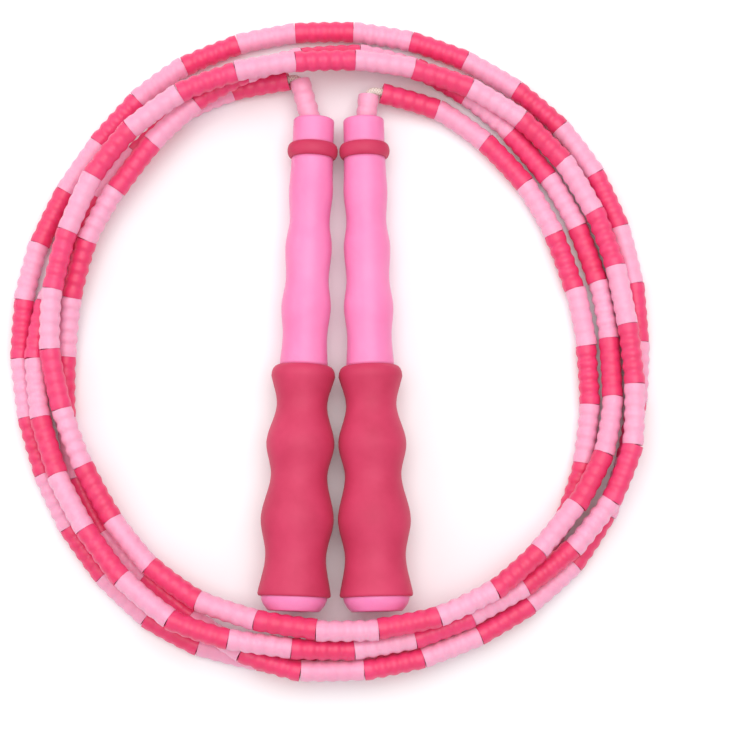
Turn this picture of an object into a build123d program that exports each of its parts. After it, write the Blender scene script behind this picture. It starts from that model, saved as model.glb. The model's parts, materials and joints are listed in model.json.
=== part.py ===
"""Beaded jump rope: two spinning handles and a segmented rope that lies around them in four loose turns."""
from build123d import *
from math import asin, cos, pi, radians, sin, tan
import os

# ---------------------------------------------------------------- driving dimensions (mm)
CORD_DIAMETER = 3.2
BEAD_DIAMETER = 8.4
BEAD_BORE = 4.8
BEAD_FACE_RADIUS = 2.7     # flat end of a bead, inside its chamfer
BEAD_CHAMFER = 1.2         # along the bead
BEAD_LENGTH = 22.5
BEADS_PER_TURN = (31, 31, 31, 30)   # on the open rope; each nose holds one more
BEAD_COUNT = sum(BEADS_PER_TURN)

HANDLE_LENGTH = 196.3      # nose face to cap face
NOSE_RADIUS = 8.15
NOSE_ROUNDING = 0.9
NOSE_LENGTH = 10.4         # visible part of the nose, up to the ring
NOSE_SPIGOT_END = 24.0
RING_RADIUS = 10.1
RING_WIDTH = 5.8
TUBE_BORE_RADIUS = 6.4
TUBE_CORE_RADIUS = 8.4     # where the grip sleeve sits on it
FIT = 0.05                 # radial play of a piece pushed into another
GRIP_START = 100.0
GRIP_END = 190.7
CAP_RADIUS = 13.0
CAP_FACE_RADIUS = 9.6
CAP_PLUG_LENGTH = 14.0
JOURNAL_CLEARANCE = 0.1    # radial play of the cord in the nose's small hole
JOURNAL_START = 15.5
JOURNAL_END = 18.5
CAVITY_RADIUS = 4.9
RUNNING_GAP = 0.3          # between faces that turn past each other
WASHER_RADIUS = 4.4
WASHER_THICKNESS = 0.8
KNOT_RADIUS = 3.8
KNOT_LENGTH = 7.0
CORD_END_DEPTH = 23.0      # the cord ends inside its stop knot

# Outlines as (distance from the nose face, radius).
TRUMPET = [(0.0, 6.8), (7.0, 5.5), (JOURNAL_START, 4.8)]
TUBE_WAVES = [(16.2, 8.3), (22.0, 8.4), (29.5, 8.75), (41.7, 7.95), (52.5, 9.25), (65.1, 8.5),
              (76.5, 9.8), (88.4, 8.8), (GRIP_START, 9.5)]
GRIP_SWELL = (160.7, 14.3)
GRIP_LIP = (104.2, 12.6)
GRIP_FLARE = (189.4, 14.3)
GRIP_WAVES = [GRIP_LIP, (115.5, 9.95), (130.9, 13.4), (143.3, 11.1), GRIP_SWELL, (175.1, 11.9), GRIP_FLARE]

# The handle lies on its ring and on the fattest swell of its grip, so its nose dips.
RING_MIDDLE = NOSE_LENGTH + RING_WIDTH / 2
PITCH = asin((GRIP_SWELL[1] - RING_RADIUS) / (GRIP_SWELL[0] - RING_MIDDLE))
NOSE_HEIGHT = RING_RADIUS * cos(PITCH) - RING_MIDDLE * sin(PITCH)

# Each handle: the middle of its nose face, how far its tail is turned out (degrees), how deep in the
# nose the cord leaves the handle's axis, and how far the exit bead leans sideways and down from it.
HANDLES = {
    "left": {"nose": (-8.9, 98.2), "turn": -2.15, "depth": 9.3, "lean": 13.0, "drop": 1.5},
    "right": {"nose": (10.95, 98.2), "turn": 1.53, "depth": 14.0, "lean": -6.5, "drop": 1.0},
}

# ---------------------------------------------------------------- the route of the cord
# The rope leaves the left nose, turns sharply, goes round four times and comes back into the right
# nose.  The turns are given every 20 degrees, anticlockwise from 120 degrees, as the distance from
# the coil's middle and the height of the corner points that the cord rounds off.
COIL_MIDDLE = (-3.5, 7.5)
COIL_START = 120
COIL_STEP = 20
TURNS = [
    (113.5, 4.3), (111, 4.3), (111.5, 4.4), (118, 10.3), (119, 12.9), (121, 15.8),
    (127.5, 20.8), (121.5, 20.3), (122.5, 16.5), (123, 13.6), (128.2, 12.6), (130.6, 13.4),
    (120.5, 12.6), (120.5, 8.9), (122.5, 8.7), (120, 13.1), (115.2, 17), (112.8, 23),
    (116.3, 24.4), (116.8, 19.7), (112.7, 17), (111, 16.4), (108, 13.7), (110.5, 12.3),
    (115.5, 15.8), (113.5, 23.2), (115.5, 24), (119.5, 21.9), (118, 16.4), (120, 10.4),
    (113.5, 5.8), (112.6, 4.3), (113.5, 4.3), (117, 4.3), (121.5, 6.5), (116.2, 14.1),
    (111, 16.2), (105.5, 13.7), (105.5, 11.5), (104.3, 6), (111, 4.3), (118, 4.3),
    (118.8, 8.2), (131, 14.5), (130.5, 13), (131, 9.6), (133.5, 4.3), (128.5, 4.3),
    (125.4, 4.3), (128.3, 4.3), (131, 4.3), (130.5, 4.3), (130, 4.3), (129.8, 4.3),
    (129.8, 4.3), (124.5, 4.3), (124.5, 4.3), (124.5, 4.3), (124.5, 4.3), (128, 4.3),
    (132, 4.3), (129.3, 4.3), (124.6, 4.3), (124, 4.3), (120.5, 4.3), (112, 4.3),
    (104.4, 4.3), (102.5, 4.3), (104.5, 4.4), (106.5, 4.5),
]
# Between each sharp turn and the coil: corner points on the ground plan, with their heights.
LEFT_DROP = [(-22.1, 114.2, 7.3), (-36.0, 113.0, 4.7)]
RIGHT_CLIMB = [(32.8, 106.6, 5.7), (20.9, 108.8, 8.1)]
# Distances along the exit bead from where the cord leaves the handle's axis to its sharp turn.
LEFT_EXIT = (13.8, 20.6, 26.1)
RIGHT_EXIT = (11.0, 20.4, 26.1)
EXIT_BOW = 0.12            # the cord's slight bow inside the exit bead
EXIT_BEAD_START = 1.0      # from where the cord leaves the handle's axis
BEAD_START = 4.6           # from each sharp turn to the nearest bead on the open rope
# The beads slide on the cord: the number of a joint between two beads, and how far along it has crept.
BEAD_CREEP = [(0, 0), (9, -1.8), (15, 2.2), (48, 8.4), (68, 3.4), (76, 8.2), (112, 2.4), (BEAD_COUNT, 0)]


def handle_axis(side):
    """The nose point of a handle and the unit vector from its nose to its cap."""
    spec = HANDLES[side]
    turn = radians(spec["turn"])
    nose = Vector(*spec["nose"], NOSE_HEIGHT)
    return nose, Vector(sin(turn) * cos(PITCH), -cos(turn) * cos(PITCH), sin(PITCH))


def exit_line(side):
    """Where the cord leaves the handle's axis inside the nose, and the exit bead's direction."""
    spec = HANDLES[side]
    nose, inward = handle_axis(side)
    outward = -inward
    slope = asin(outward.Z) - radians(spec["drop"])
    heading = Vector(outward.X, outward.Y, 0).rotate(Axis.Z, spec["lean"]).normalized()
    return nose + inward * spec["depth"], Vector(heading.X * cos(slope), heading.Y * cos(slope), sin(slope))


def lead(side, distances):
    """Route points from the cord's end inside the handle to its sharp turn outside the nose."""
    nose, inward = handle_axis(side)
    start, outward = exit_line(side)
    bow = Vector(0, 0, EXIT_BOW)
    points = [nose + inward * CORD_END_DEPTH, start]
    points += [start + outward * distances[0] + bow, start + outward * distances[1] + bow]
    points.append(start + outward * distances[2])
    return points


def coil_point(index, radius, height):
    """A corner point of the coil."""
    angle = radians(COIL_START + COIL_STEP * index)
    return Vector(COIL_MIDDLE[0] + radius * cos(angle), COIL_MIDDLE[1] + radius * sin(angle), height)


def cord_route():
    """All corner points of the cord, from the left stop knot to the right one."""
    coil = [coil_point(index, radius, height) for index, (radius, height) in enumerate(TURNS)]
    left = lead("left", LEFT_EXIT) + [Vector(*point) for point in LEFT_DROP]
    right = [Vector(*point) for point in RIGHT_CLIMB] + lead("right", RIGHT_EXIT)[::-1]
    return left + coil + right


def corner_radii(points):
    """The largest tangent arc at each corner: 0.45 of the shorter run over the tangent of half the turn."""
    radii = []
    for before, corner, after in zip(points, points[1:], points[2:]):
        half_turn = radians((corner - before).get_angle(after - corner)) / 2
        run = min((corner - before).length, (after - corner).length)
        radii.append(0.45 * run / tan(half_turn))
    return radii


# ---------------------------------------------------------------- pieces
def turned(outline):
    """A solid of revolution about Z from an outline of (height along Z, radius) edges or points."""
    edges = Polyline(*[(radius, height) for height, radius in outline], close=True)
    return revolve(Plane.XZ * make_face(edges), Axis.Z)


def wave(points, start_slope, end_slope):
    """A smooth outline through (height, radius) points, with its slopes as radius per height."""
    return Spline(*[(radius, height) for height, radius in points],
                  tangents=[(start_slope, 1), (end_slope, 1)])


def turned_wave(curve, corners):
    """A solid of revolution whose outside is a smooth wave, closed through the corner points."""
    path = [curve @ 1] + [Vector(radius, height) for height, radius in corners] + [curve @ 0]
    return revolve(Plane.XZ * make_face(curve + Polyline(*path)), Axis.Z)


def nose_bush():
    """Nose with its trumpet mouth, the partition that the cord turns in, and the spigot behind."""
    journal = CORD_DIAMETER / 2 + JOURNAL_CLEARANCE
    spigot = TUBE_BORE_RADIUS - FIT
    outline = [(NOSE_ROUNDING, NOSE_RADIUS), (NOSE_LENGTH, NOSE_RADIUS), (NOSE_LENGTH, spigot)]
    outline += [(NOSE_SPIGOT_END, spigot), (NOSE_SPIGOT_END, CAVITY_RADIUS), (JOURNAL_END, CAVITY_RADIUS)]
    outline += [(JOURNAL_END, journal), (JOURNAL_START, journal)]
    outline += TRUMPET[::-1] + [(0, NOSE_RADIUS - NOSE_ROUNDING)]
    edges = Polyline(*[(radius, height) for height, radius in outline])
    corner = RadiusArc(edges @ 1, edges @ 0, -NOSE_ROUNDING)
    return revolve(Plane.XZ * make_face(edges + corner), Axis.Z)


def collar_ring():
    """Rounded ring between the nose's shoulder and the tube's front end."""
    end = NOSE_LENGTH + RING_WIDTH
    edge_radius = RING_RADIUS - 1.6
    low, high = (edge_radius, NOSE_LENGTH), (edge_radius, end)
    crown = ThreePointArc(low, (RING_RADIUS, RING_MIDDLE), high)
    sides = Polyline(high, (TUBE_BORE_RADIUS, end), (TUBE_BORE_RADIUS, NOSE_LENGTH), low)
    return revolve(Plane.XZ * make_face(crown + sides), Axis.Z)


def handle_tube():
    """Hollow wavy tube that runs on inside the grip to the cap."""
    front, back = TUBE_WAVES[0][0], TUBE_WAVES[-1][0]
    corners = [(back, TUBE_CORE_RADIUS), (GRIP_END, TUBE_CORE_RADIUS), (GRIP_END, TUBE_BORE_RADIUS),
               (front, TUBE_BORE_RADIUS)]
    return turned_wave(wave(TUBE_WAVES, 0, 0.05), corners)


def grip_sleeve():
    """Soft sleeve with three waists, a rounded front lip and a flared rear lip."""
    inner = TUBE_CORE_RADIUS + FIT
    outside = wave(GRIP_WAVES, 0.02, 0.12)
    front_edge = (TUBE_WAVES[-1][1] + 0.7, GRIP_START)
    front = ThreePointArc(front_edge, (GRIP_LIP[1] - 0.5, GRIP_START + 1.6), outside @ 0)
    rear_edge = (CAP_RADIUS + 0.6, GRIP_END)
    rear = Polyline(outside @ 1, rear_edge, (inner, GRIP_END), (inner, GRIP_START), front_edge)
    return revolve(Plane.XZ * make_face(outside + front + rear), Axis.Z)


def end_cap():
    """Rounded cap with a plug in the tube's bore."""
    plug = TUBE_BORE_RADIUS - FIT
    plug_end = GRIP_END - CAP_PLUG_LENGTH
    shoulder, face = (CAP_RADIUS, GRIP_END), (CAP_FACE_RADIUS, HANDLE_LENGTH)
    rounding = ThreePointArc(shoulder, (CAP_RADIUS - 0.9, GRIP_END + 3.4), face)
    rest = Polyline(face, (0, HANDLE_LENGTH), (0, plug_end), (plug, plug_end), (plug, GRIP_END), shoulder)
    return revolve(Plane.XZ * make_face(rounding + rest), Axis.Z)


def stop_washer():
    """Washer on the cord behind the nose's partition."""
    start = JOURNAL_END + RUNNING_GAP
    hole = CORD_DIAMETER / 2 + FIT
    return turned([(start, hole), (start, WASHER_RADIUS), (start + WASHER_THICKNESS, WASHER_RADIUS),
                   (start + WASHER_THICKNESS, hole)])


def stop_knot():
    """Pulled-tight knot at the cord's end, as a rounded body with a blind hole for the cord."""
    start = JOURNAL_END + RUNNING_GAP + WASHER_THICKNESS
    end = start + KNOT_LENGTH
    hole = CORD_DIAMETER / 2
    face = KNOT_RADIUS - 1.2
    flank = ThreePointArc((face, start), (KNOT_RADIUS, (start + end) / 2), (face, end))
    blind_hole = [(0, CORD_END_DEPTH), (hole, CORD_END_DEPTH), (hole, start)]
    rest = Polyline((face, end), (0, end), *blind_hole, (face, start))
    return revolve(Plane.XZ * make_face(flank + rest), Axis.Z)


def bead(length):
    """One bead, standing on Z with its middle at the origin."""
    half, outside = length / 2, BEAD_DIAMETER / 2
    ends = [(-half, BEAD_FACE_RADIUS), (BEAD_CHAMFER - half, outside), (half - BEAD_CHAMFER, outside),
            (half, BEAD_FACE_RADIUS)]
    return turned([(-half, BEAD_BORE / 2)] + ends + [(half, BEAD_BORE / 2)])


# ---------------------------------------------------------------- placing
def on_handle(side, solid):
    """Move a piece from the turning axis Z to its handle."""
    nose, inward = handle_axis(side)
    return Plane(origin=nose, x_dir=Vector(0, 0, 1).cross(inward), z_dir=inward) * solid


def along(solid, middle, direction):
    """Move a piece that stands on Z so that it lies along a direction about its middle."""
    return Plane(origin=middle, x_dir=Vector(0, 0, 1).cross(direction), z_dir=direction) * solid


def creep(joint):
    """How far the joint between two beads has slid from an even pitch, by its number."""
    for (start, before), (end, after) in zip(BEAD_CREEP, BEAD_CREEP[1:]):
        if joint <= end:
            return before + (after - before) * (joint - start) / (end - start)


def place_beads(path, first, last):
    """Beads strung along the cord; each lies on its chord, moved half-way out to the arc."""
    pitch = (last - first) / BEAD_COUNT
    joints = [first + pitch * joint + creep(joint) for joint in range(BEAD_COUNT + 1)]
    solid = bead(BEAD_LENGTH)
    beads = []
    for start, end in zip(joints, joints[1:]):
        at = [path.position_at(place, position_mode=PositionMode.LENGTH)
              for place in (start, (start + end) / 2, end)]
        middle = (at[0] + at[2]) * 0.25 + at[1] * 0.5
        beads.append(along(solid, middle, (at[2] - at[0]).normalized()))
    spacing = [end - start for start, end in zip(joints, joints[1:])]
    print("bead spacing", round(min(spacing), 2), "to", round(max(spacing), 2))
    return beads


def main():
    os.makedirs("parts", exist_ok=True)
    nodes = {}

    # the cord
    points = cord_route()
    radii = corner_radii(points)
    path = FilletPolyline(*points, radius=radii).wire()
    section = Plane(origin=path @ 0, z_dir=path % 0) * Circle(CORD_DIAMETER / 2)
    cord = sweep(section, path=path)
    nodes["cord"] = cord
    runs = [(after - before).length for before, after in zip(points, points[1:])]
    print("cord length", round(path.length, 1), "runs", round(min(runs), 1), "to", round(max(runs), 1))
    print("corner radii", [round(radius, 1) for radius in radii])
    plain_volume = pi * CORD_DIAMETER ** 2 / 4 * path.length
    print("tube volume over section times length", round(cord.volume / plain_volume, 4))

    # the beads on the open rope, in groups of one colour and one turn
    left_turn = sum(runs[:4])
    right_turn = path.length - sum(runs[-4:])
    beads = place_beads(path, left_turn + BEAD_START, right_turn - BEAD_START)
    start = 0
    for turn, count in enumerate(BEADS_PER_TURN, 1):
        group = beads[start:start + count]
        hot = start % 2          # the colours alternate, and the first bead is hot pink
        nodes[f"hot_pink_beads_turn_{turn}"] = Compound(group[hot::2])
        nodes[f"pale_pink_beads_turn_{turn}"] = Compound(group[1 - hot::2])
        start += count

    # the pieces at each handle
    for side in HANDLES:
        begin, outward = exit_line(side)
        middle = begin + outward * (EXIT_BEAD_START + BEAD_LENGTH / 2)
        nodes[f"{side}_exit_bead"] = along(bead(BEAD_LENGTH), middle, outward)
        for name, make in (("stop_washer", stop_washer), ("stop_knot", stop_knot), ("nose_bush", nose_bush),
                           ("collar_ring", collar_ring), ("handle_tube", handle_tube),
                           ("grip_sleeve", grip_sleeve), ("end_cap", end_cap)):
            nodes[f"{side}_{name}"] = on_handle(side, make())

    for name, shape in nodes.items():
        export_step(shape, f"parts/{name}.step")
    for side in HANDLES:
        nose, inward = handle_axis(side)
        print(side, "nose", nose, "axis", inward, "cap face", nose + inward * HANDLE_LENGTH)


main()
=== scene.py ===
"""Looks of the beaded jump rope: ribbed beads on a braided cord, and two handles with soft crimson grips."""
import bpy
import json
import math
import random
import numpy as np
from mathutils import Matrix, Vector


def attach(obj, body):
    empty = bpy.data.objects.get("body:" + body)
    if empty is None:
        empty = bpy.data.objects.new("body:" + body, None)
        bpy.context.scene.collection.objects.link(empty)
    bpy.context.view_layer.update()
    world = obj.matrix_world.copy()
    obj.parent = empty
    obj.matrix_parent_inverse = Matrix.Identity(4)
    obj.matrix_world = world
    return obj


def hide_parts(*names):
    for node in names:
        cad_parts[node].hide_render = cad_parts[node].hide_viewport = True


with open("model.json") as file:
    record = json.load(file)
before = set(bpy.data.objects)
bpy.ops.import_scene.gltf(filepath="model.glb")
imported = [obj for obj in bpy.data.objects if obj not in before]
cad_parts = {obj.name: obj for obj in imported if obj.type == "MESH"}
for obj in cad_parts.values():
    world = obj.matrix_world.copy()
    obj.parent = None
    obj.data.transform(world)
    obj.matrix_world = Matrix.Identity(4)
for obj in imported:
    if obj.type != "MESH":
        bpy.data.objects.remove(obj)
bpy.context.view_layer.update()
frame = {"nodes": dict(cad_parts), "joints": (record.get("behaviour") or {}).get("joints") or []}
MM = 0.001
JOINTS = {joint["name"]: joint for joint in frame["joints"]}

# ---------------------------------------------------------------- the cord's route (mm)
# As in the CAD part, but for the exits, which lean a little more, and one crossing, half a millimetre higher.
CORD_DIAMETER = 3.2
CORD_END_DEPTH = 23.0
COIL_MIDDLE = (-3.5, 7.5)
COIL_START = 120
COIL_STEP = 20
TURNS = [
    (113.5, 4.3), (111, 4.3), (111.5, 4.4), (118, 10.3), (119, 12.9), (121, 15.8),
    (127.5, 20.8), (121.5, 20.3), (122.5, 16.5), (123, 13.6), (128.2, 12.6), (130.6, 13.4),
    (120.5, 12.6), (120.5, 8.9), (122.5, 8.7), (120, 13.1), (115.2, 17), (112.8, 23),
    (116.3, 24.4), (116.8, 19.7), (112.7, 17), (111, 16.4), (108, 13.7), (110.5, 12.3),
    (115.5, 15.8), (113.5, 23.2), (115.5, 24), (119.5, 21.9), (118, 16.4), (120, 10.4),
    (113.5, 5.8), (112.6, 4.3), (113.5, 4.3), (117, 4.3), (121.5, 6.5), (116.2, 14.6),
    (111, 16.2), (105.5, 13.7), (105.5, 11.5), (104.3, 6), (111, 4.3), (118, 4.3),
    (118.8, 8.2), (131, 14.5), (130.5, 13), (131, 9.6), (133.5, 4.3), (128.5, 4.3),
    (125.4, 4.3), (128.3, 4.3), (131, 4.3), (130.5, 4.3), (130, 4.3), (129.8, 4.3),
    (129.8, 4.3), (124.5, 4.3), (124.5, 4.3), (124.5, 4.3), (124.5, 4.3), (128, 4.3),
    (132, 4.3), (129.3, 4.3), (124.6, 4.3), (124, 4.3), (120.5, 4.3), (112, 4.3),
    (104.4, 4.3), (102.5, 4.3), (104.5, 4.4), (106.5, 4.5),
]
LEFT_DROP = [(-22.1, 114.2, 7.3), (-36.0, 113.0, 4.7)]
RIGHT_CLIMB = [(32.8, 106.6, 5.7), (20.9, 108.8, 8.1)]
EXIT_BOW = 0.12
# How deep in each nose the cord leaves the axis, the exit bead's lean and drop (degrees), the distances
# from there of the cord's points up to the sharp turn, and the exit bead's two ends.
EXITS = {
    "left": {"depth": 4.3, "lean": 17.8, "drop": 1.5, "points": (9.5, 17.0, 22.4), "bead": (-2.4, 20.9)},
    "right": {"depth": 8.5, "lean": -7.2, "drop": 1.0, "points": (6.5, 15.0, 20.8), "bead": (-4.4, 18.3)},
}

# ---------------------------------------------------------------- beads
BEADS_PER_TURN = (31, 31, 31, 30)
BEAD_START = 4.6           # from each sharp turn to the nearest bead on the open rope
# The number of a joint between two beads, and how far along the cord it has crept from an even pitch.
BEAD_CREEP = [(0, -0.9), (9, -1.8), (15, 2.2), (48, 8.4), (68, 3.4), (76, 8.2), (112, 2.4), (123, 0)]
BEAD_GAP = -0.1            # the beads are pressed together
BEAD_RADIUS = 4.22
BEAD_BORE_RADIUS = 2.4
BEAD_BULGES = 5
BULGE_STEPS = 8
NOTCH_DEPTH = 0.56
NOTCH_SHARPNESS = 2.5
END_NOTCH = 0.3            # share of a notch's depth that is left at a bead's ends
EDGE_ROUNDING = 0.16
BEAD_STIFFNESS = 0.55      # 1 is a straight bead, 0 one that follows the cord's curve
BEAD_SHIFT = 0.35          # how far a bead may sit off the cord's line, sideways
PATH_STEP = 0.5            # between the places worked out along a line
CORD_SIDES, BEAD_SIDES, HANDLE_SIDES = 16, 32, 96

# ---------------------------------------------------------------- handles
HANDLE_LENGTH = 196.3
NOSE_LENGTH = 10.4
RING_END = 16.2
GRIP_START = 100.0
GRIP_END = 190.7
TUBE_BORE_RADIUS = 6.4
TUBE_CORE_RADIUS = 8.4
NOSE_RADIUS = 8.15
NOSE_ROUNDING = 1.3
SPIGOT_END = 24.0
JOURNAL_START = 15.5       # the small hole in the nose's partition
JOURNAL_END = 18.5
JOURNAL_CLEARANCE = 0.1
CAVITY_RADIUS = 4.9
FIT = 0.05                 # radial play of a piece pushed into another
RING_RADIUS = 10.1
RING_CROWN = 1.6           # how far the ring bulges past its edges
CAP_RADIUS = 13.0
CAP_PLUG_END = 176.7
CENTRE = 0.02              # the radius that stands for a closed middle
TUBE_WAVES = [(16.2, 8.3), (22.0, 8.4), (29.5, 8.75), (41.7, 7.95), (52.5, 9.25), (65.1, 8.5),
              (76.5, 9.8), (88.4, 8.8), (GRIP_START, 9.5)]
GRIP_WAVES = [(104.2, 12.6), (115.5, 9.95), (130.9, 13.4), (143.3, 11.1), (160.7, 14.3), (175.1, 11.9),
              (189.4, 14.3)]


# ================================================================ the camera
def add_camera():
    """Straight-down view, tipped six degrees, from where the whole rope fills the frame."""
    target = Vector((12.75, -1.15, 0)) * MM
    elevation = math.radians(84)
    distance = 860 * MM
    place = target + Vector((0, -math.cos(elevation), math.sin(elevation))) * distance
    data = bpy.data.cameras.new("camera")
    data.lens = 105
    data.sensor_width = 36
    camera = bpy.data.objects.new("camera", data)
    camera.matrix_world = Matrix.Translation(place) @ Matrix.Rotation(math.pi / 2 - elevation, 4, "X")
    bpy.context.scene.collection.objects.link(camera)
    bpy.context.scene.camera = camera


# ================================================================ the cord's line
def handle_axis(side):
    """A handle's nose point and the direction from its nose to its cap, in millimetres."""
    joint = JOINTS[f"{side}_handle_spin"]
    return Vector(joint["pos_m"]) / MM, Vector(joint["axis"]).normalized()


def exit_line(side):
    """Where the cord leaves the handle's axis inside the nose, and the exit bead's direction."""
    spec = EXITS[side]
    nose, inward = handle_axis(side)
    slope = math.asin(-inward.z) - math.radians(spec["drop"])
    heading = Vector((-inward.x, -inward.y, 0)).normalized()
    heading.rotate(Matrix.Rotation(math.radians(spec["lean"]), 3, "Z"))
    outward = heading * math.cos(slope) + Vector((0, 0, math.sin(slope)))
    return nose + inward * spec["depth"], outward


def lead(side):
    """Route points from the cord's end inside a handle to its sharp turn outside the nose."""
    nose, inward = handle_axis(side)
    start, outward = exit_line(side)
    bow = Vector((0, 0, EXIT_BOW))
    near, far, turn = EXITS[side]["points"]
    points = [nose + inward * CORD_END_DEPTH, start]
    points += [start + outward * near + bow, start + outward * far + bow, start + outward * turn]
    return points


def coil_point(index, radius, height):
    """A corner point of the coil."""
    angle = math.radians(COIL_START + COIL_STEP * index)
    across, along = COIL_MIDDLE
    return Vector((across + radius * math.cos(angle), along + radius * math.sin(angle), height))


def cord_route():
    """All control points of the cord, from the left stop knot to the right one."""
    coil = [coil_point(index, radius, height) for index, (radius, height) in enumerate(TURNS)]
    left = lead("left") + [Vector(point) for point in LEFT_DROP]
    right = [Vector(point) for point in RIGHT_CLIMB] + lead("right")[::-1]
    return left + coil + right


def spline_points(controls):
    """Points (mm) along the smooth NURBS curve with these control points."""
    data = bpy.data.curves.new("route", "CURVE")
    data.dimensions = "3D"
    data.resolution_u = 24
    spline = data.splines.new("NURBS")
    spline.points.add(len(controls) - 1)
    for point, place in zip(spline.points, controls):
        point.co = (*(place * MM), 1)
    spline.order_u = 3
    spline.use_endpoint_u = True
    curve = bpy.data.objects.new("route", data)
    bpy.context.scene.collection.objects.link(curve)
    bpy.context.view_layer.update()
    mesh = bpy.data.meshes.new_from_object(curve)
    points = np.array([vertex.co for vertex in mesh.vertices]) / MM
    bpy.data.objects.remove(curve)
    bpy.data.curves.remove(data)
    bpy.data.meshes.remove(mesh)
    return points


class Line:
    """A curved line with a place and a steady sideways frame at every distance along it (mm)."""

    def __init__(self, points):
        raw = np.r_[0, np.cumsum(np.linalg.norm(np.diff(points, axis=0), axis=1))]
        self.length = raw[-1]
        count = int(self.length / PATH_STEP) + 1
        self.at = np.linspace(0, self.length, count)
        self.places = np.column_stack([np.interp(self.at, raw, points[:, axis]) for axis in range(3)])
        tangents = np.gradient(self.places, axis=0)
        self.tangents = tangents / np.linalg.norm(tangents, axis=1)[:, None]
        side = np.cross(self.tangents[0], (0, 0, 1.0))
        sides = []
        for tangent in self.tangents:
            side = side - tangent * (side @ tangent)
            side = side / np.linalg.norm(side)
            sides.append(side)
        self.sides = np.array(sides)

    def frame_at(self, distance):
        """Place, side and up at a distance along the line."""
        place, side, tangent = (
            np.array([np.interp(distance, self.at, values[:, axis]) for axis in range(3)])
            for values in (self.places, self.sides, self.tangents))
        tangent = tangent / np.linalg.norm(tangent)
        side = side - tangent * (side @ tangent)
        side = side / np.linalg.norm(side)
        return place, side, np.cross(tangent, side)

    def nearest(self, point):
        """The distance along the line of its closest place to a point."""
        return self.at[np.argmin(np.linalg.norm(self.places - np.array(point), axis=1))]


def bead_line(line, start, end, shift):
    """A bead's own line: between the cord's curve and its chord, and shifted a little sideways."""
    distances = np.linspace(start, end, 49)
    frames = [line.frame_at(distance) for distance in distances]
    curve = np.array([place for place, _, _ in frames])
    chord = np.linspace(curve[0], curve[-1], len(curve))
    sideways = np.cross(curve[-1] - curve[0], (0, 0, 1.0))
    sideways = sideways / np.linalg.norm(sideways)
    return Line(curve + (chord - curve) * BEAD_STIFFNESS + sideways * shift)


def straight(start, direction):
    """A two-point Line for pieces turned about a straight axis."""
    start, direction = np.array(start), np.array(direction)
    return Line(np.array([start, start + direction * (HANDLE_LENGTH + 1)]))


# ================================================================ mesh building
class Build:
    """Collects turned shapes that follow a line, then makes one object of them."""

    def __init__(self):
        self.points, self.faces, self.uvs, self.tones = [], [], [], []

    def turn(self, line, outline, sides, tone=0.5, loop=True):
        """Adds rings round the line at each (distance, radius) of the outline, joined into a wall."""
        base = len(self.points)
        angles = [2 * math.pi * k / sides for k in range(sides)]
        for distance, radius in outline:
            place, side, up = line.frame_at(distance)
            for angle in angles:
                self.points.append((place + (side * math.cos(angle) + up * math.sin(angle)) * radius) * MM)
                self.tones.append(tone)
        rings = len(outline)
        for ring in range(rings if loop else rings - 1):
            after = (ring + 1) % rings
            for k in range(sides):
                turn = (k + 1) % sides
                self.faces.append([base + ring * sides + k, base + ring * sides + turn,
                                   base + after * sides + turn, base + after * sides + k])
                low, high = outline[ring][0], outline[after][0]
                self.uvs += [(k / sides, low), ((k + 1) / sides, low)]
                self.uvs += [((k + 1) / sides, high), (k / sides, high)]
        if not loop:
            self.faces.append([base + k for k in range(sides)][::-1])
            self.faces.append([base + (rings - 1) * sides + k for k in range(sides)])
            self.uvs += [(0, outline[0][0])] * sides + [(0, outline[-1][0])] * sides

    def make(self, name, material):
        """The finished object, smooth, with its tone attribute and its map of (turn, distance)."""
        mesh = bpy.data.meshes.new(name)
        mesh.from_pydata([tuple(point) for point in self.points], [], self.faces)
        layer = mesh.uv_layers.new(name="around")
        layer.data.foreach_set("uv", np.array(self.uvs, np.float32).ravel())
        tones = mesh.attributes.new("tone", "FLOAT", "POINT")
        tones.data.foreach_set("value", np.array(self.tones, np.float32))
        mesh.polygons.foreach_set("use_smooth", [True] * len(mesh.polygons))
        mesh.materials.append(material)
        mesh.update()
        piece = bpy.data.objects.new(name, mesh)
        bpy.context.scene.collection.objects.link(piece)
        return piece


def arc(middle, radius, start, end, count=5):
    """Outline points on an arc about (distance, radius), from start to end in degrees."""
    angles = [math.radians(start + (end - start) * k / count) for k in range(count + 1)]
    return [(middle[0] + radius * math.cos(a), middle[1] + radius * math.sin(a)) for a in angles]


def spread(start, end, radius, count):
    """Evenly spaced outline points of one radius, both ends left out."""
    return [(start + (end - start) * k / count, radius) for k in range(1, count)]


def smooth(points, step=1.2):
    """A smooth outline through the points."""
    distances = [point[0] for point in points]
    radii = [point[1] for point in points]
    slopes = []
    for k in range(len(points)):
        before, after = max(0, k - 1), min(len(points) - 1, k + 1)
        peak = 0 < k < len(points) - 1 and (radii[k] - radii[before]) * (radii[after] - radii[k]) <= 0
        slopes.append(0 if peak else (radii[after] - radii[before]) / (distances[after] - distances[before]))
    outline = []
    for k in range(len(points) - 1):
        span = distances[k + 1] - distances[k]
        count = max(2, round(span / step))
        for j in range(count):
            t = j / count
            hermite = (2 * t**3 - 3 * t**2 + 1, t**3 - 2 * t**2 + t, -2 * t**3 + 3 * t**2, t**3 - t**2)
            radius = hermite[0] * radii[k] + hermite[1] * span * slopes[k]
            radius += hermite[2] * radii[k + 1] + hermite[3] * span * slopes[k + 1]
            outline.append((distances[k] + span * t, radius))
    return outline + [points[-1]]


# ================================================================ materials
def node(tree, kind, **values):
    """A shader node with some of its properties or inputs set."""
    made = tree.nodes.new(kind)
    for key, value in values.items():
        if hasattr(made, key):
            setattr(made, key, value)
        else:
            made.inputs[key.replace("_", " ")].default_value = value
    return made


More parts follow.
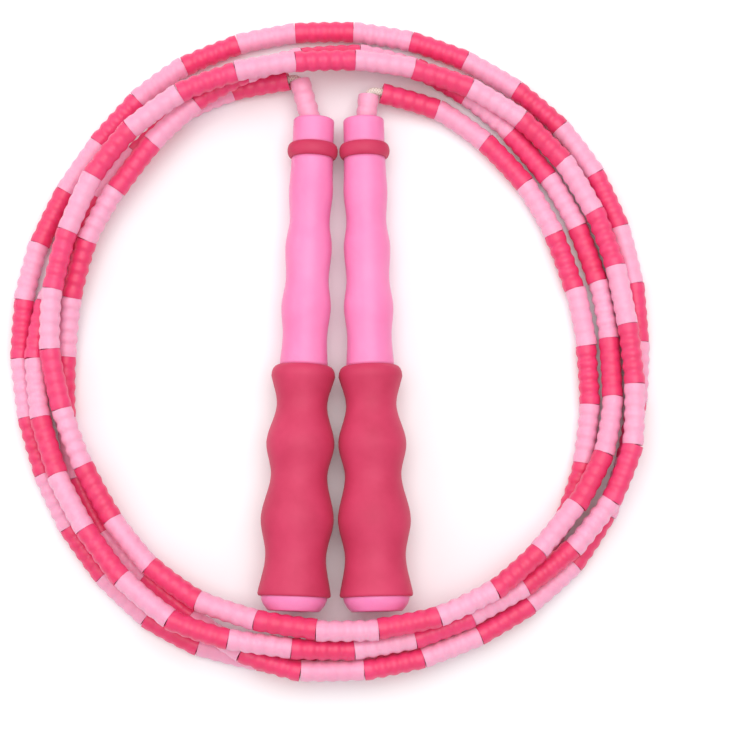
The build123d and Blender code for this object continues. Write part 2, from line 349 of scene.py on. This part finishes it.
def material(name, slot_colour, roughness):
    """A principled material and its tree."""
    made = bpy.data.materials.new(name)
    made.use_nodes = True
    shader = made.node_tree.nodes["Principled BSDF"]
    shader.inputs["Base Color"].default_value = (*slot_colour, 1)
    shader.inputs["Roughness"].default_value = roughness
    return made, made.node_tree, shader


def speckled_colour(tree, shader, dark, light, scale, share=0.5, tone=False):
    """Base colour that drifts between two shades in soft patches, and from piece to piece by its tone."""
    place = node(tree, "ShaderNodeTexCoord")
    noise = node(tree, "ShaderNodeTexNoise", Scale=scale, Detail=3.0, Roughness=0.55)
    tree.links.new(place.outputs["Object"], noise.inputs["Vector"])
    blend = node(tree, "ShaderNodeMapRange")
    blend.inputs["From Min"].default_value = 0.3
    blend.inputs["From Max"].default_value = 0.7
    blend.inputs["To Max"].default_value = share
    tree.links.new(noise.outputs["Fac"], blend.inputs["Value"])
    amount = blend.outputs["Result"]
    if tone:
        attribute = node(tree, "ShaderNodeAttribute", attribute_name="tone")
        both = node(tree, "ShaderNodeMath", operation="MULTIPLY_ADD")
        both.inputs[1].default_value = 1 - share
        tree.links.new(attribute.outputs["Fac"], both.inputs[0])
        tree.links.new(amount, both.inputs[2])
        amount = both.outputs["Value"]
    mix = node(tree, "ShaderNodeMix", data_type="RGBA")
    mix.inputs[6].default_value = (*dark, 1)
    mix.inputs[7].default_value = (*light, 1)
    tree.links.new(amount, mix.inputs[0])
    tree.links.new(mix.outputs[2], shader.inputs["Base Color"])


def grain(tree, shader, scale, distance, strength=1.0, height=None):
    """Fine surface relief from noise, added to another height if one is given."""
    place = node(tree, "ShaderNodeTexCoord")
    noise = node(tree, "ShaderNodeTexNoise", Scale=scale, Detail=2.0)
    tree.links.new(place.outputs["Object"], noise.inputs["Vector"])
    relief = noise.outputs["Fac"]
    if height is not None:
        total = node(tree, "ShaderNodeMath", operation="ADD")
        tree.links.new(relief, total.inputs[0])
        tree.links.new(height, total.inputs[1])
        relief = total.outputs["Value"]
    bump = node(tree, "ShaderNodeBump", Strength=strength, Distance=distance)
    tree.links.new(relief, bump.inputs["Height"])
    tree.links.new(bump.outputs["Normal"], shader.inputs["Normal"])


def parting_line(tree):
    """Height of the two thin mould lines that run along a turned piece."""
    place = node(tree, "ShaderNodeUVMap", uv_map="around")
    split = node(tree, "ShaderNodeSeparateXYZ")
    tree.links.new(place.outputs["UV"], split.inputs["Vector"])
    twice = node(tree, "ShaderNodeMath", operation="PINGPONG")
    twice.inputs[1].default_value = 0.25
    tree.links.new(split.outputs["X"], twice.inputs[0])
    line = node(tree, "ShaderNodeMapRange", interpolation_type="SMOOTHSTEP")
    line.inputs["From Max"].default_value = 0.004
    line.inputs["To Min"].default_value = 1.2
    line.inputs["To Max"].default_value = 0.0
    tree.links.new(twice.outputs["Value"], line.inputs["Value"])
    return line.outputs["Result"]


def bead_plastic(name, dark, light, glow):
    """Satin, slightly see-through plastic that lets light spread inside it."""
    made, tree, shader = material(name, light, 0.46)
    speckled_colour(tree, shader, dark, light, 160, 0.5, tone=True)
    shader.inputs["Subsurface Weight"].default_value = glow
    shader.inputs["Subsurface Radius"].default_value = (1.0, 0.35, 0.5)
    shader.inputs["Subsurface Scale"].default_value = 0.002
    shader.inputs["Coat Weight"].default_value = 0.22
    shader.inputs["Coat Roughness"].default_value = 0.24
    grain(tree, shader, 300, 0.00025, 0.5)
    return made


def handle_plastic():
    """Satin pink moulded plastic with fine mould lines."""
    made, tree, shader = material("handle_plastic", (0.93, 0.245, 0.505), 0.42)
    speckled_colour(tree, shader, (0.91, 0.215, 0.47), (0.95, 0.275, 0.54), 45, 0.8)
    shader.inputs["Subsurface Weight"].default_value = 0.3
    shader.inputs["Subsurface Radius"].default_value = (1.0, 0.4, 0.6)
    shader.inputs["Subsurface Scale"].default_value = 0.003
    shader.inputs["Coat Weight"].default_value = 0.1
    shader.inputs["Coat Roughness"].default_value = 0.4
    grain(tree, shader, 1500, 0.00003, 0.4, parting_line(tree))
    return made


def soft_rubber(name, dark, light):
    """Matt soft-touch surface with a fine skin grain and a faint velvety sheen."""
    made, tree, shader = material(name, light, 0.62)
    speckled_colour(tree, shader, dark, light, 60, 0.9)
    shader.inputs["Sheen Weight"].default_value = 0.06
    shader.inputs["Sheen Roughness"].default_value = 0.5
    grain(tree, shader, 2600, 0.00005, 0.6)
    return made


def braided_cord():
    """Cream nylon braid: two crossing families of strands, with painted shade darkening the grooves between
    them.
    """
    made, tree, shader = material("cord_braid", (0.83, 0.76, 0.66), 0.7)
    place = node(tree, "ShaderNodeUVMap", uv_map="around")
    split = node(tree, "ShaderNodeSeparateXYZ")
    tree.links.new(place.outputs["UV"], split.inputs["Vector"])
    waves = []
    for direction in (1, -1):
        turns = node(tree, "ShaderNodeMath", operation="MULTIPLY")
        turns.inputs[1].default_value = direction * 2 * math.pi * 6
        tree.links.new(split.outputs["X"], turns.inputs[0])
        total = node(tree, "ShaderNodeMath", operation="MULTIPLY_ADD")
        total.inputs[1].default_value = 2 * math.pi / 1.1
        tree.links.new(split.outputs["Y"], total.inputs[0])
        tree.links.new(turns.outputs["Value"], total.inputs[2])
        wave = node(tree, "ShaderNodeMath", operation="SINE")
        tree.links.new(total.outputs["Value"], wave.inputs[0])
        waves.append(wave.outputs["Value"])
    top = node(tree, "ShaderNodeMath", operation="MAXIMUM")
    tree.links.new(waves[0], top.inputs[0])
    tree.links.new(waves[1], top.inputs[1])
    shade = node(tree, "ShaderNodeMapRange")
    shade.inputs["From Min"].default_value = -1
    tree.links.new(top.outputs["Value"], shade.inputs["Value"])
    # painted shade: the base colour goes from cream on the strands to brown in the grooves between them,
    # where shadow falls; the same pattern also drives the bump
    mix = node(tree, "ShaderNodeMix", data_type="RGBA")
    mix.inputs[6].default_value = (0.52, 0.44, 0.36, 1)
    mix.inputs[7].default_value = (0.88, 0.82, 0.73, 1)
    tree.links.new(shade.outputs["Result"], mix.inputs[0])
    tree.links.new(mix.outputs[2], shader.inputs["Base Color"])
    grain(tree, shader, 4000, 0.0002, 0.7, shade.outputs["Result"])
    shader.inputs["Sheen Weight"].default_value = 0.2
    return made


# ================================================================ the pieces
def add_cord(line, braid):
    """The braided cord as a mesh tube along its line."""
    build = Build()
    outline = [(distance, CORD_DIAMETER / 2) for distance in np.arange(0, line.length, 1.0)]
    outline.append((line.length, CORD_DIAMETER / 2))
    build.turn(line, outline, CORD_SIDES, loop=False)
    return build.make("braided_cord", braid)


def bead_outline(start, end, notch):
    """Closed outline of one bead: a wall of soft bulges with narrow notches, crisp edges and the bore."""
    length = end - start
    count = BEAD_BULGES * BULGE_STEPS
    wall = []
    for k in range(count + 1):
        t = k / count
        depth = notch * abs(math.cos(math.pi * BEAD_BULGES * t)) ** NOTCH_SHARPNESS
        if min(k, count - k) < BULGE_STEPS / 2:
            depth *= END_NOTCH
        wall.append((start + EDGE_ROUNDING + (length - 2 * EDGE_ROUNDING) * t, BEAD_RADIUS - depth))
    edge = wall[0][1] - EDGE_ROUNDING
    tail = arc((end - EDGE_ROUNDING, edge), EDGE_ROUNDING, 90, 0, 3)[1:]
    head = arc((start + EDGE_ROUNDING, edge), EDGE_ROUNDING, 180, 90, 3)[:-1]
    bore = [(end, BEAD_BORE_RADIUS)] + spread(end, start, BEAD_BORE_RADIUS, 8) + [(start, BEAD_BORE_RADIUS)]
    return wall + tail + bore + head


def creep(joint):
    """How far the joint between two beads has slid from an even pitch, by its number."""
    return float(np.interp(joint, *zip(*BEAD_CREEP)))


def add_beads(line, plastics):
    """All beads of the open rope, grouped by turn and colour as in the CAD part."""
    rng = random.Random(7)
    route = cord_route()
    first = line.nearest(route[4]) + BEAD_START
    last = line.nearest(route[-5]) - BEAD_START
    total = sum(BEADS_PER_TURN)
    joints = [first + (last - first) * joint / total + creep(joint) for joint in range(total + 1)]
    groups = []
    index = 0
    for turn, count in enumerate(BEADS_PER_TURN, 1):
        builds = {"hot": Build(), "pale": Build()}
        for _ in range(count):
            colour = "hot" if index % 2 == 0 else "pale"
            own = bead_line(line, joints[index], joints[index + 1], BEAD_SHIFT * rng.uniform(-1, 1))
            notch = NOTCH_DEPTH * rng.uniform(0.6, 1.1)
            outline = bead_outline(BEAD_GAP / 2, own.length - BEAD_GAP / 2, notch)
            builds[colour].turn(own, outline, BEAD_SIDES, tone=rng.random())
            index += 1
        for colour, build in builds.items():
            piece = build.make(f"{colour}_pink_beads_{turn}", plastics[colour])
            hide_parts(f"{colour}_pink_beads_turn_{turn}")
            groups.append(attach(piece, "rope"))
    return groups


def add_exit_bead(side, plastics):
    """The pale bead that sticks out of a handle's nose."""
    start, outward = exit_line(side)
    build = Build()
    low, high = EXITS[side]["bead"]
    outline = bead_outline(0, high - low, NOTCH_DEPTH * 0.7)
    build.turn(straight(start + outward * low, outward), outline, BEAD_SIDES, tone=0.6)
    piece = build.make(f"{side}_nose_bead", plastics["pale"])
    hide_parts(f"{side}_exit_bead")
    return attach(piece, "rope")


def nose_outline():
    """Nose bush: rounded front, straight wall up to the ring, spigot, partition and trumpet mouth."""
    journal = CORD_DIAMETER / 2 + JOURNAL_CLEARANCE
    spigot = TUBE_BORE_RADIUS - FIT
    front = arc((NOSE_ROUNDING, NOSE_RADIUS - NOSE_ROUNDING), NOSE_ROUNDING, 180, 90, 6)
    wall = spread(NOSE_ROUNDING, NOSE_LENGTH, NOSE_RADIUS, 8)
    wall += [(NOSE_LENGTH - 0.15, NOSE_RADIUS), (NOSE_LENGTH, NOSE_RADIUS - 0.15)]
    inside = [(NOSE_LENGTH, spigot), (SPIGOT_END, spigot), (SPIGOT_END, CAVITY_RADIUS)]
    inside += [(JOURNAL_END, CAVITY_RADIUS), (JOURNAL_END, journal), (JOURNAL_START, journal)]
    mouth = smooth([(0.4, 6.6), (3.0, 6.1), (7.0, 5.5), (11.0, 5.1), (JOURNAL_START, 4.8)])[::-1]
    return front + wall + inside + mouth + [(0.05, 6.75)]


def ring_outline():
    """Collar ring with a full round crown."""
    middle = (NOSE_LENGTH + RING_END) / 2
    half = (RING_END - NOSE_LENGTH) / 2
    angles = [math.radians(angle) for angle in range(0, 181, 10)]
    crown = [(middle - half * math.cos(angle), RING_RADIUS - RING_CROWN * (1 - math.sin(angle)))
             for angle in angles]
    return crown + [(RING_END, TUBE_BORE_RADIUS), (NOSE_LENGTH, TUBE_BORE_RADIUS)]


def tube_outline():
    """Hollow wavy tube that runs on inside the grip."""
    core = [(GRIP_START, TUBE_CORE_RADIUS), (GRIP_END, TUBE_CORE_RADIUS)]
    return smooth(TUBE_WAVES) + core + [(GRIP_END, TUBE_BORE_RADIUS), (RING_END, TUBE_BORE_RADIUS)]


def grip_outline():
    """Soft sleeve with a rolled front lip, three waists and a flared rear lip."""
    inner = TUBE_CORE_RADIUS + FIT
    lip = [(0, 9.75), (0.1, 10.5), (0.5, 11.25), (1.3, 11.9), (2.5, 12.4)]
    front = [(GRIP_START + distance, radius) for distance, radius in lip]
    rear = [(189.9, 14.3), (190.35, 14.15), (190.6, 13.9), (GRIP_END, 13.55)]
    return front + smooth(GRIP_WAVES, 1.0) + rear + [(GRIP_END, inner), (GRIP_START, inner)]


def cap_outline():
    """End cap: rounded shoulder, nearly flat face with a shallow dish, and the plug in the tube."""
    plug = TUBE_BORE_RADIUS - FIT
    profile = [(GRIP_END, CAP_RADIUS), (192.0, 12.75), (193.4, 12.2), (195.0, 11.1), (195.9, 10.3)]
    shoulder = smooth(profile, 0.5)
    edge = [(196.15, 10.0), (196.27, 9.7), (HANDLE_LENGTH, 9.3)]
    dish = [(HANDLE_LENGTH, 7.2), (196.2, 6.8), (196.0, 6.3), (195.95, 4.0), (195.95, CENTRE)]
    return shoulder + edge + dish + [(CAP_PLUG_END, CENTRE), (CAP_PLUG_END, plug), (GRIP_END, plug)]


def add_handle(side, plastic, crimson):
    """The five pieces of one handle, turned about its axis."""
    nose, inward = handle_axis(side)
    axis = straight(nose, inward)
    pieces = (("nose_bush", nose_outline(), plastic, "handle_pink"),
              ("collar_ring", ring_outline(), crimson, "ring_crimson"),
              ("handle_tube", tube_outline(), plastic, "handle_pink"),
              ("grip_sleeve", grip_outline(), crimson, "grip_crimson"),
              ("end_cap", cap_outline(), plastic, "handle_pink"))
    for name, outline, look, slot in pieces:
        build = Build()
        build.turn(axis, outline, HANDLE_SIDES)
        piece = build.make(f"{side}_{name}_look", look)
        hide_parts(f"{side}_{name}")
        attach(piece, f"{side}_handle")


def dress_hidden_pieces(braid, nylon):
    """Better finishes for the CAD pieces inside the handles."""
    for side in EXITS:
        for name, look in (("stop_knot", braid), ("stop_washer", nylon)):
            piece = frame["nodes"][f"{side}_{name}"]
            piece.data.materials.clear()
            piece.data.materials.append(look)


# ================================================================ floor and light
def add_floor():
    """A large plain pale floor."""
    size = 6
    mesh = bpy.data.meshes.new("floor")
    corners = [(-size, -size, 0), (size, -size, 0), (size, size, 0), (-size, size, 0)]
    mesh.from_pydata(corners, [], [(0, 1, 2, 3)])
    made, _, shader = material("floor_paint", (0.93, 0.93, 0.935), 0.9)
    shader.inputs["Specular IOR Level"].default_value = 0.1
    mesh.materials.append(made)
    floor = bpy.data.objects.new("floor", mesh)
    floor.location = (0, 0, -0.0001)
    bpy.context.scene.collection.objects.link(floor)


def add_light(name, place, size, energy):
    """A soft square lamp that faces the object."""
    data = bpy.data.lights.new(name, "AREA")
    data.size = size
    data.energy = energy
    lamp = bpy.data.objects.new(name, data)
    lamp.location = place
    lamp.rotation_euler = (-Vector(place)).to_track_quat("-Z", "Y").to_euler()
    bpy.context.scene.collection.objects.link(lamp)


def add_lights():
    """One wide lamp overhead, a weaker one from the left, and an even pale surround."""
    add_light("overhead", (0.1, 0.25, 1.6), 1.6, 20)
    add_light("side", (-1.2, 0.5, 1.0), 1.0, 4)
    world = bpy.data.worlds.new("surround")
    world.use_nodes = True
    background = world.node_tree.nodes["Background"]
    background.inputs["Color"].default_value = (1, 1, 1, 1)
    background.inputs["Strength"].default_value = 0.6
    bpy.context.scene.world = world
    bpy.context.scene.view_settings.view_transform = "Standard"


def main():
    add_camera()
    line = Line(spline_points(cord_route()))
    print("spline length", round(line.length, 1))
    braid = braided_cord()
    cord = add_cord(line, braid)
    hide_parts("cord")
    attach(cord, "rope")
    plastics = {
        "hot": bead_plastic("bead_plastic_hot", (0.76, 0.028, 0.125), (0.86, 0.052, 0.195), 0.45),
        "pale": bead_plastic("bead_plastic_pale", (0.87, 0.33, 0.50), (0.92, 0.415, 0.585), 0.35),
    }
    beads = add_beads(line, plastics)
    exit_beads = [add_exit_bead(side, plastics) for side in EXITS]
    nylon = material("washer_nylon", (0.85, 0.85, 0.82), 0.45)[0]
    dress_hidden_pieces(braid, nylon)
    plastic = handle_plastic()
    crimson = soft_rubber("grip_rubber", (0.54, 0.022, 0.085), (0.65, 0.038, 0.12))
    for side in EXITS:
        add_handle(side, plastic, crimson)
    add_floor()
    add_lights()


main()
